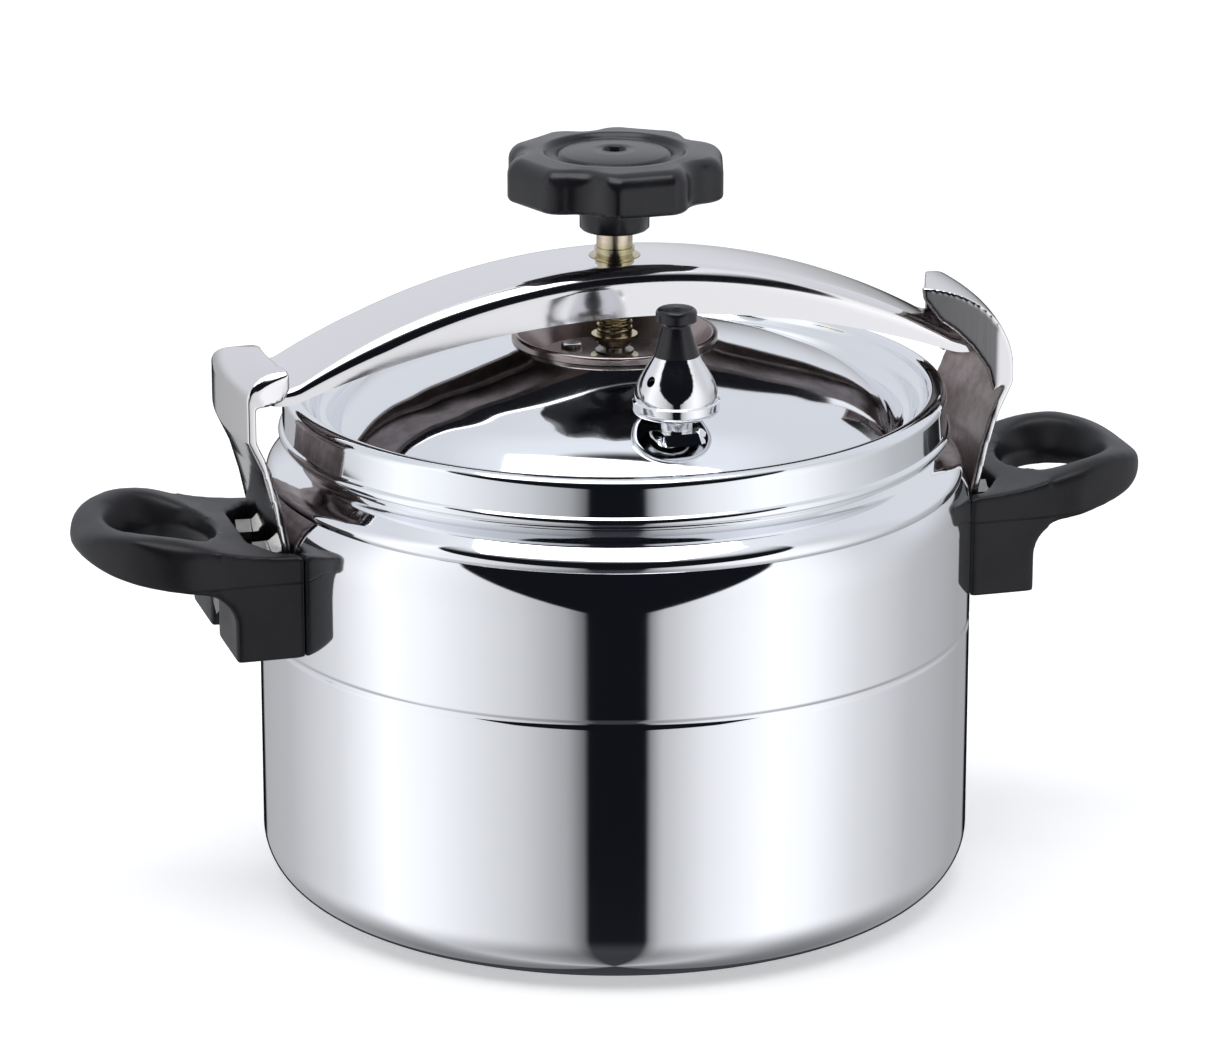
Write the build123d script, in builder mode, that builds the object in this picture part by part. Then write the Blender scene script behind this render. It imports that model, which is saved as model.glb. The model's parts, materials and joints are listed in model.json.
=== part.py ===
from build123d import *

import os
from math import asin, cos, degrees, radians, sin

# Stovetop pressure cooker with a screw-down clamp beam: one STEP file for each physical piece.
# Millimetres. The origin is the centre of the pot's flat base, +Z is up and +X runs along the clamp beam.

# Driving dimensions
BODY_R = 120.0
BASE_R = 102.0
BASE_CORNER = 18.0
BODY_WALL = 2.6
FLOOR = 4.5
GROOVE_Z = 91.7
SHOULDER_Z = 127.0
SHOULDER_BEND = 31.0
NECK_R = 107.6
NECK_Z = 152.5
MOUTH_Z = 162.5

SKIRT_R = 111.2
SKIRT_WALL = 2.2
HEM_Z = 154.2
RIM_Z = 170.5
RIM_INNER_R = 105.0
DOME_FOOT_R = 97.0
DOME_FOOT_Z = 160.2
LAND_R = 35.5
LAND_Z = 186.2
LID_SHEET = 2.2
WELL_TOP_R = 33.0
WELL_FLOOR_R = 30.2
WELL_Z = 176.5

CUP_LIP_R = 34.4
CUP_LIP_Z = 189.0
CUP_FLOOR_Z = 179.2

BEAM_TOP_Z = 215.0
BEAM_HALF_WIDTH = 20.0
BEAM_SHEET = 3.0
BEAM_ARC_X = 112.0
BEAM_ARC_Z = 184.2
BEAM_TIP_X = 127.0
BEAM_TIP_TOP_Z = 185.2
BEAM_TIP_LOW_Z = 179.6
FLANGE_TOP_Z = 198.7
FLANGE_END_Z = 178.0

SCREW_R = 6.0
SPINDLE_R = 3.8
SPINDLE_Z = 184.0
THREAD_GAP = 0.06

KNOB_LOW_Z = 236.0
KNOB_TOP_Z = 251.0
KNOB_FACET = 36.0
KNOB_WAIST = 31.0
KNOB_FLUTE = 18.0
KNOB_LOBES = 5
KNOB_TURN = -16.0
HUB_R = 11.8
HUB_Z = 224.0

HOOK_R = 120.4
HOOK_SHEET = 2.9
HOOK_FACE_R = 134.4
HOOK_HALF_WIDTH = 28.0
HOOK_FACE_Z = 168.0
HOOK_FOOT_Z = 102.0
HOOK_PLATE = [
    (HOOK_R + HOOK_SHEET, HOOK_FOOT_Z),
    (HOOK_R + HOOK_SHEET, 131.0),
    (126.4, 146.0),
    (129.8, 158.0),
    (HOOK_FACE_R, HOOK_FACE_Z),
]

HANDLE_TIP_X = 185.0
HANDLE_HALF_WIDTH = 36.0
HANDLE_BACK_X = 108.0
LEG_X = 138.0
LEG_Z = 95.5
HANDLE_TOP_Z = LEG_Z + 44
LOOP_X = 155.0

BOLT_R = 3.0
UPPER_BOLT_Z = 124.0
LOWER_BOLT_Z = 107.5
UPPER_BOLT_Y = 12.0

VALVE_Y = 72.0
PAD_R = 8.5
PAD_Z = 175.2
PAD_UNDER_Z = 168.6

SIDES = (0.0, 180.0)


def save(builder, name):
    """Name the part of a builder and write it to its STEP file."""
    builder.part.label = name
    export_step(builder.part, f"parts/{name}.step")


def side_locations(z, spread=0.0):
    """Places on both sides of the pot, at the height z, turned out radially."""
    angles = [0.0] if spread == 0.0 else [-spread, spread]
    return [Location((0, 0, z), (0, 0, side + angle)) for side in SIDES for angle in angles]


def upper_bolt_angle():
    """Half the angle between the two upper bolts of a hook, seen from the pot's axis."""
    return degrees(asin(UPPER_BOLT_Y / HOOK_R))


def radial_rod(radius, start, end, places, mode=Mode.ADD):
    """Rods that point away from the pot's axis, from the radius start to the radius end."""
    with Locations(*places):
        with Locations(Location(((start + end) / 2, 0, 0), (0, 90, 0))):
            Cylinder(radius, end - start, mode=mode)


def radial_bolt_holes(radius, start, end):
    """Cut the holes for the hook bolts and the handle bolts."""
    radial_rod(radius, start, end, side_locations(UPPER_BOLT_Z, upper_bolt_angle()), Mode.SUBTRACT)
    radial_rod(radius, start, end, side_locations(LOWER_BOLT_Z), Mode.SUBTRACT)


def make_pot_body():
    """Spun pot: flat base, rounded corner, grooved wall, beaded shoulder and a plain neck."""
    groove = 1.2
    bead_z = 141.0
    bead_rise = 4.6
    shoulder_r = BODY_R - SHOULDER_BEND
    bead_low_r = shoulder_r + (SHOULDER_BEND**2 - (bead_z - SHOULDER_Z) ** 2) ** 0.5
    bead_high_r = shoulder_r + (SHOULDER_BEND**2 - (bead_z + bead_rise - SHOULDER_Z) ** 2) ** 0.5
    bead_mid_r = (bead_low_r + bead_high_r) / 2 + 1.6
    bend_low = BASE_CORNER * (1 - cos(radians(45)))
    inner_r = BODY_R - BODY_WALL
    inner_corner = BASE_CORNER - BODY_WALL
    inner_bend = inner_corner * (1 - cos(radians(45)))
    neck_inner_r = NECK_R - BODY_WALL
    with BuildPart() as pot_body:
        with BuildSketch(Plane.XZ):
            with BuildLine():
                Polyline((0, FLOOR), (0, 0), (BASE_R, 0))
                ThreePointArc((BASE_R, 0), (BODY_R - bend_low, bend_low), (BODY_R, BASE_CORNER))
                Line((BODY_R, BASE_CORNER), (BODY_R, GROOVE_Z - groove))
                ThreePointArc(
                    (BODY_R, GROOVE_Z - groove),
                    (BODY_R - groove / 2, GROOVE_Z),
                    (BODY_R, GROOVE_Z + groove),
                )
                Line((BODY_R, GROOVE_Z + groove), (BODY_R, SHOULDER_Z))
                RadiusArc((BODY_R, SHOULDER_Z), (bead_low_r, bead_z), -SHOULDER_BEND)
                ThreePointArc(
                    (bead_low_r, bead_z),
                    (bead_mid_r, bead_z + bead_rise / 2),
                    (bead_high_r, bead_z + bead_rise),
                )
                Polyline(
                    (bead_high_r, bead_z + bead_rise),
                    (NECK_R + 1.4, NECK_Z - 1.6),
                    (NECK_R, NECK_Z),
                    (NECK_R, MOUTH_Z),
                    (neck_inner_r, MOUTH_Z),
                    (neck_inner_r, NECK_Z - 2),
                    (bead_high_r - BODY_WALL - 0.6, bead_z + bead_rise - 2),
                )
                ThreePointArc(
                    (bead_high_r - BODY_WALL - 0.6, bead_z + bead_rise - 2),
                    (inner_r - 1.6, SHOULDER_Z + 8),
                    (inner_r, SHOULDER_Z - 2),
                )
                Line((inner_r, SHOULDER_Z - 2), (inner_r, FLOOR + inner_corner))
                ThreePointArc(
                    (inner_r, FLOOR + inner_corner),
                    (inner_r - inner_bend, FLOOR + inner_bend),
                    (inner_r - inner_corner, FLOOR),
                )
                Line((inner_r - inner_corner, FLOOR), (0, FLOOR))
            make_face()
        revolve(axis=Axis.Z)
        radial_bolt_holes(BOLT_R + 0.1, inner_r - 5, BODY_R + 5)
    save(pot_body, "pot_body")


def make_lid():
    """Pressed lid: rolled hem, skirt, rounded rim, stepped wall, dome, centre well and two valve pads."""
    channel_r = SKIRT_R - SKIRT_WALL
    with BuildPart() as lid:
        with BuildSketch(Plane.XZ):
            with BuildLine():
                ThreePointArc((SKIRT_R, HEM_Z), (SKIRT_R + 1.4, HEM_Z + 2.3), (SKIRT_R, HEM_Z + 4.6))
                Line((SKIRT_R, HEM_Z + 4.6), (SKIRT_R, RIM_Z - 3))
                ThreePointArc((SKIRT_R, RIM_Z - 3), (SKIRT_R - 0.9, RIM_Z - 0.9), (SKIRT_R - 3, RIM_Z))
                Line((SKIRT_R - 3, RIM_Z), (RIM_INNER_R + 1.6, RIM_Z))
                ThreePointArc(
                    (RIM_INNER_R + 1.6, RIM_Z),
                    (RIM_INNER_R + 0.4, RIM_Z - 0.6),
                    (RIM_INNER_R - 0.2, RIM_Z - 1.8),
                )
                Polyline(
                    (RIM_INNER_R - 0.2, RIM_Z - 1.8),
                    (RIM_INNER_R - 2, RIM_Z - 4.4),
                    (RIM_INNER_R - 3.4, RIM_Z - 5),
                    (DOME_FOOT_R + 2.6, DOME_FOOT_Z + 1.2),
                    (DOME_FOOT_R, DOME_FOOT_Z),
                )
                Spline(
                    (DOME_FOOT_R, DOME_FOOT_Z),
                    (80, 172),
                    (62, 178.5),
                    (LAND_R, LAND_Z - 0.4),
                    (LAND_R - 1.2, LAND_Z),
                )
                Polyline(
                    (LAND_R - 1.2, LAND_Z),
                    (WELL_TOP_R, LAND_Z),
                    (WELL_FLOOR_R, WELL_Z),
                    (0, WELL_Z),
                    (0, WELL_Z - LID_SHEET),
                    (WELL_FLOOR_R + 2, WELL_Z - LID_SHEET),
                    (LAND_R + 0.3, LAND_Z - 3),
                )
                Spline(
                    (LAND_R + 0.3, LAND_Z - 3),
                    (61, 176.3),
                    (78.8, 169.9),
                    (DOME_FOOT_R - 1, DOME_FOOT_Z - LID_SHEET),
                )
                Polyline(
                    (DOME_FOOT_R - 1, DOME_FOOT_Z - LID_SHEET),
                    (DOME_FOOT_R + 3, DOME_FOOT_Z - LID_SHEET + 0.4),
                    (DOME_FOOT_R + 5, DOME_FOOT_Z + 0.3),
                    (RIM_INNER_R - 0.1, RIM_Z - 4.7),
                    (RIM_INNER_R + 1.6, RIM_Z - LID_SHEET),
                    (channel_r, RIM_Z - LID_SHEET),
                    (channel_r, HEM_Z),
                    (SKIRT_R, HEM_Z),
                )
            make_face()
        revolve(axis=Axis.Z)
        with Locations((0, -VALVE_Y), (0, VALVE_Y)):
            with Locations((0, 0, PAD_UNDER_Z)):
                Cylinder(PAD_R, PAD_Z - PAD_UNDER_Z, align=(Align.CENTER, Align.CENTER, Align.MIN))
            with Locations((0, 0, PAD_Z)):
                Cylinder(PAD_R, 8, align=(Align.CENTER, Align.CENTER, Align.MIN), mode=Mode.SUBTRACT)
            with Locations((0, 0, PAD_UNDER_Z)):
                Cylinder(4.1, 20, mode=Mode.SUBTRACT)
        with PolarLocations(20, 3):
            with Locations((0, 0, WELL_Z)):
                Cylinder(2.0, 20, mode=Mode.SUBTRACT)
    save(lid, "lid")


def make_lid_gasket():
    """Rubber ring in the lid's channel, just above the pot's rim."""
    with BuildPart() as lid_gasket:
        with BuildSketch(Plane.XZ):
            with BuildLine():
                Polyline(
                    (RIM_INNER_R - 1.3, MOUTH_Z + 0.1),
                    (SKIRT_R - SKIRT_WALL - 0.1, MOUTH_Z + 0.1),
                    (SKIRT_R - SKIRT_WALL - 0.1, RIM_Z - LID_SHEET - 0.1),
                    (RIM_INNER_R + 1.9, RIM_Z - LID_SHEET - 0.1),
                    (RIM_INNER_R + 0.3, RIM_Z - 4.7),
                    close=True,
                )
            make_face()
        revolve(axis=Axis.Z)
    save(lid_gasket, "lid_gasket")


def make_pressure_cup():
    """Steel dish in the lid's well that spreads the screw's push."""
    with BuildPart() as pressure_cup:
        with BuildSketch(Plane.XZ):
            with BuildLine():
                Polyline(
                    (0, WELL_Z + 0.1),
                    (WELL_FLOOR_R - 0.4, WELL_Z + 0.1),
                    (WELL_TOP_R - 0.4, LAND_Z + 0.1),
                    (CUP_LIP_R, LAND_Z + 0.1),
                    (CUP_LIP_R, CUP_LIP_Z - 1),
                )
                ThreePointArc(
                    (CUP_LIP_R, CUP_LIP_Z - 1),
                    (CUP_LIP_R - 1, CUP_LIP_Z),
                    (CUP_LIP_R - 2.2, CUP_LIP_Z - 0.8),
                )
                Polyline(
                    (CUP_LIP_R - 2.2, CUP_LIP_Z - 0.8),
                    (27.6, CUP_FLOOR_Z),
                    (0, CUP_FLOOR_Z),
                    (0, WELL_Z + 0.1),
                )
            make_face()
        revolve(axis=Axis.Z)
        with PolarLocations(20, 3):
            with Locations((0, 0, WELL_Z)):
                Cylinder(2.0, 20, mode=Mode.SUBTRACT)
    save(pressure_cup, "pressure_cup")


def make_cup_rivets():
    """Three rivets that hold the cup in the lid."""
    head = 1.6
    with BuildPart() as cup_rivets:
        with PolarLocations(20, 3):
            with Locations((0, 0, WELL_Z - LID_SHEET - head)):
                Cylinder(
                    1.9,
                    CUP_FLOOR_Z - WELL_Z + LID_SHEET + 2 * head,
                    align=(Align.CENTER, Align.CENTER, Align.MIN),
                )
                Cylinder(3.6, head - 0.05, align=(Align.CENTER, Align.CENTER, Align.MIN))
            with Locations((0, 0, CUP_FLOOR_Z + 0.05)):
                Cylinder(3.6, head - 0.05, align=(Align.CENTER, Align.CENTER, Align.MIN))
        fillet(cup_rivets.edges().filter_by(GeomType.CIRCLE).group_by(Axis.Z)[-1], 1.0)
    save(cup_rivets, "cup_rivets")


def beam_side(drop, reach):
    """Side outline of the beam, its top lowered by drop, its ends at the distance reach from the middle."""
    with BuildSketch(Plane.XZ, mode=Mode.PRIVATE) as outline:
        with BuildLine():
            ThreePointArc(
                (-BEAM_ARC_X, BEAM_ARC_Z - drop),
                (0, BEAM_TOP_Z - drop),
                (BEAM_ARC_X, BEAM_ARC_Z - drop),
            )
            for side in (-1, 1):
                ThreePointArc(
                    (side * BEAM_ARC_X, BEAM_ARC_Z - drop),
                    (side * (BEAM_ARC_X + 7), BEAM_ARC_Z - 1.2 - drop),
                    (side * reach, BEAM_TIP_TOP_Z - drop),
                )
                Line((side * reach, BEAM_TIP_TOP_Z - drop), (side * reach, BEAM_TIP_LOW_Z - 3 * drop))
            Line((-reach, BEAM_TIP_LOW_Z - 3 * drop), (reach, BEAM_TIP_LOW_Z - 3 * drop))
        make_face()
    return outline.sketch


def make_clamp_beam():
    """Arched channel of pressed steel: flanges down both sides, closed upturned ends, a hole for the nut."""
    end_x = BEAM_ARC_X + 1
    with BuildPart() as hollow:
        with BuildSketch(Plane.XZ):
            add(beam_side(BEAM_SHEET, BEAM_TIP_X - BEAM_SHEET))
        extrude(amount=BEAM_HALF_WIDTH - BEAM_SHEET, both=True)
    with BuildPart() as clamp_beam:
        with BuildSketch(Plane.XZ):
            with BuildLine():
                ThreePointArc((-BEAM_ARC_X, BEAM_ARC_Z), (0, BEAM_TOP_Z), (BEAM_ARC_X, BEAM_ARC_Z))
                ThreePointArc((-end_x, FLANGE_END_Z), (0, FLANGE_TOP_Z), (end_x, FLANGE_END_Z))
                for side in (-1, 1):
                    ThreePointArc(
                        (side * BEAM_ARC_X, BEAM_ARC_Z),
                        (side * (BEAM_ARC_X + 7), BEAM_ARC_Z - 1.2),
                        (side * BEAM_TIP_X, BEAM_TIP_TOP_Z),
                    )
                    Line((side * BEAM_TIP_X, BEAM_TIP_TOP_Z), (side * BEAM_TIP_X, BEAM_TIP_LOW_Z))
                    ThreePointArc(
                        (side * BEAM_TIP_X, BEAM_TIP_LOW_Z),
                        (side * (end_x + 7), FLANGE_END_Z - 0.4),
                        (side * end_x, FLANGE_END_Z),
                    )
            make_face()
        extrude(amount=BEAM_HALF_WIDTH, both=True)
        fillet(clamp_beam.edges().filter_by(Axis.Z), 7)
        fillet(clamp_beam.edges().filter_by(lambda edge: edge.bounding_box().min.Z > BEAM_ARC_Z - 0.5), 5)
        add(hollow.part, mode=Mode.SUBTRACT)
        with Locations((0, 0, BEAM_TOP_Z)):
            Cylinder(8.6, 30, mode=Mode.SUBTRACT)
    save(clamp_beam, "clamp_beam")


def make_beam_nut():
    """Threaded bush fixed under the beam's top, its neck flush with the top."""
    under = BEAM_TOP_Z - BEAM_SHEET - 0.5
    with BuildPart() as beam_nut:
        with BuildSketch(Plane.XY.offset(under - 11)):
            RegularPolygon(12, 6, major_radius=False)
        extrude(amount=11)
        with BuildSketch(Plane.XY.offset(under)):
            Circle(8.5)
        extrude(amount=BEAM_SHEET + 0.6)
        with Locations((0, 0, under)):
            Cylinder(SCREW_R + THREAD_GAP, 60, mode=Mode.SUBTRACT)
    save(beam_nut, "beam_nut")


def make_clamp_screw():
    """Screw with its spindle foot in the cup and two ring grooves."""
    with BuildPart() as clamp_screw:
        with BuildSketch(Plane.XY.offset(CUP_FLOOR_Z + 1.3)):
            Circle(SPINDLE_R)
        extrude(amount=SPINDLE_Z - CUP_FLOOR_Z)
        with BuildSketch(Plane.XY.offset(SPINDLE_Z)):
            Circle(SCREW_R)
        extrude(amount=KNOB_TOP_Z - 9 - SPINDLE_Z)
        chamfer(clamp_screw.faces().sort_by(Axis.Z)[0].edges(), 1)
        chamfer(clamp_screw.faces().sort_by(Axis.Z)[-1].edges(), 1)
    save(clamp_screw, "clamp_screw")


def make_ring(name, inner, outer, low, high):
    """Plain ring on the cooker's axis."""
    with BuildPart() as ring:
        with BuildSketch(Plane.XY.offset(low)):
            Circle(outer)
            Circle(inner, mode=Mode.SUBTRACT)
        extrude(amount=high - low)
    save(ring, name)


def make_screw_rings():
    """Washer under the spindle, its clip, and the two rings that stop the beam on the screw."""
    make_ring("thrust_washer", 1.2, 8.0, CUP_FLOOR_Z + 0.1, CUP_FLOOR_Z + 1.25)
    make_ring("spindle_clip", SPINDLE_R + 0.02, 6.4, CUP_FLOOR_Z + 2.2, CUP_FLOOR_Z + 3.2)
    stop_r = SCREW_R + 0.7
    make_ring("lower_stop_ring", SCREW_R + 0.02, stop_r + 1, SPINDLE_Z + 2.6, SPINDLE_Z + 3.9)
    make_ring("upper_stop_ring", SCREW_R + 0.02, stop_r, BEAM_TOP_Z + 1.6, BEAM_TOP_Z + 2.9)


def make_knob():
    """Moulded knob: lobes with flat ends, shallow flutes between them, a hub, a ring recess and a dome."""
    recess_r = 23.0
    lip = 1.4
    flute_from = KNOB_WAIST + KNOB_FLUTE
    half_pitch = 180 / KNOB_LOBES
    with BuildPart() as knob:
        with BuildSketch(Plane.XY.offset(KNOB_LOW_Z)):
            RegularPolygon(KNOB_FACET, KNOB_LOBES, major_radius=False, rotation=KNOB_TURN + half_pitch)
            with PolarLocations(flute_from, KNOB_LOBES, start_angle=KNOB_TURN + half_pitch):
                Circle(KNOB_FLUTE, mode=Mode.SUBTRACT)
        extrude(amount=KNOB_TOP_Z - KNOB_LOW_Z)
        fillet(knob.edges().filter_by(Axis.Z), 3)
        fillet(knob.faces().sort_by(Axis.Z)[-1].edges(), 4.5)
        fillet(knob.faces().sort_by(Axis.Z)[0].edges(), 2.5)
        with BuildSketch(Plane.XY.offset(HUB_Z)):
            Circle(HUB_R)
        extrude(amount=KNOB_LOW_Z - HUB_Z + 1)
        with BuildSketch(Plane.XZ):
            with BuildLine():
                Polyline((0, KNOB_TOP_Z + 2), (recess_r, KNOB_TOP_Z + 2), (recess_r, KNOB_TOP_Z - lip))
                Line((recess_r, KNOB_TOP_Z - lip), (recess_r - 1.6, KNOB_TOP_Z - lip))
                ThreePointArc(
                    (recess_r - 1.6, KNOB_TOP_Z - lip),
                    (recess_r / 2, KNOB_TOP_Z + 0.5),
                    (0, KNOB_TOP_Z + 1.2),
                )
                Line((0, KNOB_TOP_Z + 1.2), (0, KNOB_TOP_Z + 2))
            make_face()
        revolve(axis=Axis.Z, mode=Mode.SUBTRACT)
        with Locations((0, 0, KNOB_TOP_Z - 4)):
            Cylinder(3.8, 20, mode=Mode.SUBTRACT)
        with BuildSketch(Plane.XY.offset(HUB_Z - 1)):
            Circle(8)
        extrude(amount=KNOB_TOP_Z - 8 - HUB_Z + 1, mode=Mode.SUBTRACT)
    save(knob, "knob")


def make_knob_insert():
    """Metal bush moulded in the knob."""
    with BuildPart() as knob_insert:
        with BuildSketch(Plane.XY.offset(HUB_Z + 0.5)):
            Circle(8 - 0.02)
            Circle(SCREW_R + 0.02, mode=Mode.SUBTRACT)
        extrude(amount=KNOB_TOP_Z - 8.5 - HUB_Z - 0.5)
    save(knob_insert, "knob_insert")


def radial_plane(angle):
    """Upright plane through the pot's axis, its x direction turned by angle from +X."""
    turn = radians(angle)
    return Plane(origin=(0, 0, 0), x_dir=(cos(turn), sin(turn), 0), z_dir=(sin(turn), -cos(turn), 0))


def inset(points, amount):
    """Move an open row of points to the left of its own direction by amount."""
    moved = []
    for index, (x, z) in enumerate(points):
        before = points[max(index - 1, 0)]
        after = points[min(index + 1, len(points) - 1)]
        run = (after[0] - before[0], after[1] - before[1])
        length = (run[0] ** 2 + run[1] ** 2) ** 0.5
        moved.append((x - amount * run[1] / length, z + amount * run[0] / length))
    return moved


def hook_side(plate, roof, closing):
    """Closed side outline of a hook: up the plate, over the roof, then back along the closing points."""
    with BuildLine() as side_line:
        Polyline(*plate, roof[0])
        Spline(*roof)
        Polyline(roof[-1], *closing, plate[0])
    return side_line.edges()


def hook_crown(crown, half_width):
    """Closed outline of a hook seen along the beam: narrow foot, wide shoulders and the crown's curve."""
    foot_half_width = half_width - 4
    with BuildLine() as crown_line:
        Spline(*crown)
        Polyline(
            crown[-1],
            (half_width, 150),
            (foot_half_width, HOOK_FOOT_Z - 12),
            (-foot_half_width, HOOK_FOOT_Z - 12),
            (-half_width, 150),
            crown[0],
        )
    return crown_line.edges()


def make_hook(name, side, roof, wall_edge, crown, beak):
    """Pressed hook arm: curved plate on the pot, and a hood with side walls over the beam's end."""
    inner_half_width = HOOK_HALF_WIDTH - HOOK_SHEET
    outer_angle = degrees(asin(HOOK_HALF_WIDTH / HOOK_FACE_R)) + 0.5
    inner_angle = degrees(asin(inner_half_width / HOOK_FACE_R))
    inner_line = [(x - HOOK_SHEET, z) for x, z in HOOK_PLATE]
    inner_roof = inset(roof, HOOK_SHEET)
    back = inner_roof[-1][0] - 8
    below = HOOK_FOOT_Z - 10
    inside = [(back, inner_roof[-1][1] + 0.5), (back, below), (inner_line[0][0], below)]
    inner_crown = inset(crown, -HOOK_SHEET)
    inner_crown[0] = (-inner_half_width, crown[0][1])
    inner_crown[-1] = (inner_half_width, crown[-1][1])
    direction = 1 if side == 0 else -1
    with BuildPart() as hollow:
        with BuildSketch(radial_plane(side - inner_angle)):
            make_face(hook_side(inner_line, inner_roof, inside))
        revolve(axis=Axis.Z, revolution_arc=2 * inner_angle)
        with BuildSketch(Plane.YZ):
            make_face(hook_crown(inner_crown, inner_half_width))
        extrude(amount=BODY_R + 40, both=True, mode=Mode.INTERSECT)
    with BuildPart() as hook:
        with BuildSketch(radial_plane(side - outer_angle)):
            make_face(hook_side(HOOK_PLATE, roof, wall_edge + inner_line[::-1]))
        revolve(axis=Axis.Z, revolution_arc=2 * outer_angle)
        with BuildSketch(Plane.YZ):
            make_face(hook_crown(crown, HOOK_HALF_WIDTH))
        extrude(amount=BODY_R + 40, both=True, mode=Mode.INTERSECT)
        add(hollow.part, mode=Mode.SUBTRACT)
        with BuildSketch(Plane.XY.offset(HOOK_FACE_Z)):
            Polygon(
                (direction * (roof[-1][0] - 20), -HOOK_HALF_WIDTH + 8),
                (direction * (roof[-1][0] - 1), -HOOK_HALF_WIDTH + 8),
                (direction * (roof[-1][0] + beak), HOOK_HALF_WIDTH + 2),
                (direction * (roof[-1][0] - 20), HOOK_HALF_WIDTH + 2),
                align=None,
            )
        extrude(amount=60, mode=Mode.SUBTRACT)
        bolts = [(LOWER_BOLT_Z, 0.0), (UPPER_BOLT_Z, -upper_bolt_angle()), (UPPER_BOLT_Z, upper_bolt_angle())]
        places = [Location((0, 0, z), (0, 0, side + turn)) for z, turn in bolts]
        radial_rod(BOLT_R + 0.1, HOOK_R - 5, HOOK_R + 6, places, Mode.SUBTRACT)
    save(hook, name)


def make_hooks():
    """The two hooks. The right one has the longer, beaked hood."""
    make_hook(
        "hook_left",
        180.0,
        roof=[(HOOK_FACE_R, 181), (132.6, 187.0), (127.2, 190.2), (119.8, 191.2)],
        wall_edge=[(119.6, 184.6), (121.6, 181.4), (125.0, 180.2), (HOOK_FACE_R - HOOK_SHEET, 179.6)],
        crown=[
            (-HOOK_HALF_WIDTH, 182),
            (-27.2, 188),
            (-23.5, 191.4),
            (-15, 192.2),
            (4, 191.2),
            (20, 186.6),
            (HOOK_HALF_WIDTH, 174),
        ],
        beak=0.5,
    )
    make_hook(
        "hook_right",
        0.0,
        roof=[(HOOK_FACE_R, 172), (132.8, 182), (126.0, 192.6), (115.0, 199.2), (103.0, 201.6)],
        wall_edge=[
            (103.6, 197.4),
            (109.0, 190.2),
            (114.6, 186.2),
            (120.2, 180.6),
            (125.4, 173.0),
            (127.6, 165.0),
        ],
        crown=[
            (-HOOK_HALF_WIDTH, 186),
            (-27.3, 196),
            (-24, 201.4),
            (-16, 203),
            (0, 200.8),
            (20, 192.6),
            (HOOK_HALF_WIDTH, 174),
        ],
        beak=17.0,
    )


def handle_side():
    """Side outline of a handle: leg on the pot, bend below, rising loop and flat back."""
    with BuildSketch(Plane.XZ, mode=Mode.PRIVATE) as outline:
        with BuildLine():
            Polyline((HANDLE_BACK_X, LEG_Z), (LEG_X, LEG_Z), (LEG_X, LEG_Z + 13))
            ThreePointArc((LEG_X, LEG_Z + 13), (LEG_X + 3.2, LEG_Z + 20.5), (LEG_X + 11, LEG_Z + 24))
            Spline(
                (LEG_X + 11, LEG_Z + 24),
                (LEG_X + 25, LEG_Z + 26.4),
                (HANDLE_TIP_X - 9, LEG_Z + 29),
                (HANDLE_TIP_X, LEG_Z + 33),
            )
            Spline(
                (HANDLE_TIP_X, LEG_Z + 33),
                (HANDLE_TIP_X - 2.5, LEG_Z + 40),
                (HANDLE_TIP_X - 12, LEG_Z + 43.4),
                (LOOP_X, LEG_Z + 42.6),
                (LEG_X + 4, LEG_Z + 38.4),
                (LEG_X - 14, LEG_Z + 35.4),
                (HANDLE_BACK_X, LEG_Z + 34.6),
            )
            Line((HANDLE_BACK_X, LEG_Z + 34.6), (HANDLE_BACK_X, LEG_Z))
        make_face()
    return outline.sketch


def handle_plan():
    """Outline of a handle from above: straight at the pot, round at the tip."""
    half_width = HANDLE_HALF_WIDTH
    with BuildSketch(Plane.XY, mode=Mode.PRIVATE) as outline:
        with BuildLine():
            Polyline(
                (LEG_X, -half_width + 1),
                (HANDLE_BACK_X, -half_width + 1),
                (HANDLE_BACK_X, half_width - 1),
                (LEG_X, half_width - 1),
            )
            Spline(
                (LEG_X, half_width - 1),
                (LOOP_X, half_width),
                (HANDLE_TIP_X - 11, half_width - 10),
                (HANDLE_TIP_X, 0),
                (HANDLE_TIP_X - 11, -half_width + 10),
                (LOOP_X, -half_width),
                (LEG_X, -half_width + 1),
                tangents=((1, 0), (-1, 0)),
            )
        make_face()
    return outline.sketch


def handle_front():
    """Outline of a handle from its tip: upright sides with round shoulders."""
    shoulder = 10.0
    side_y = HANDLE_HALF_WIDTH + 1
    shoulder_y = side_y - shoulder
    with BuildSketch(Plane.YZ.offset(HANDLE_BACK_X), mode=Mode.PRIVATE) as outline:
        with BuildLine():
            Line((-shoulder_y, HANDLE_TOP_Z), (shoulder_y, HANDLE_TOP_Z))
            RadiusArc((shoulder_y, HANDLE_TOP_Z), (side_y, HANDLE_TOP_Z - shoulder), shoulder)
            Polyline(
                (side_y, HANDLE_TOP_Z - shoulder),
                (side_y, LEG_Z),
                (-side_y, LEG_Z),
                (-side_y, HANDLE_TOP_Z - shoulder),
            )
            RadiusArc((-side_y, HANDLE_TOP_Z - shoulder), (-shoulder_y, HANDLE_TOP_Z), shoulder)
        make_face()
    return outline.sketch


def oval(z, length, width):
    """Oval round the middle of the finger hole, at the height z."""
    with BuildSketch(Plane.XY.offset(z), mode=Mode.PRIVATE) as outline:
        with Locations((LOOP_X - 0.5, 0)):
            Ellipse(length, width)
    return outline.sketch


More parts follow.
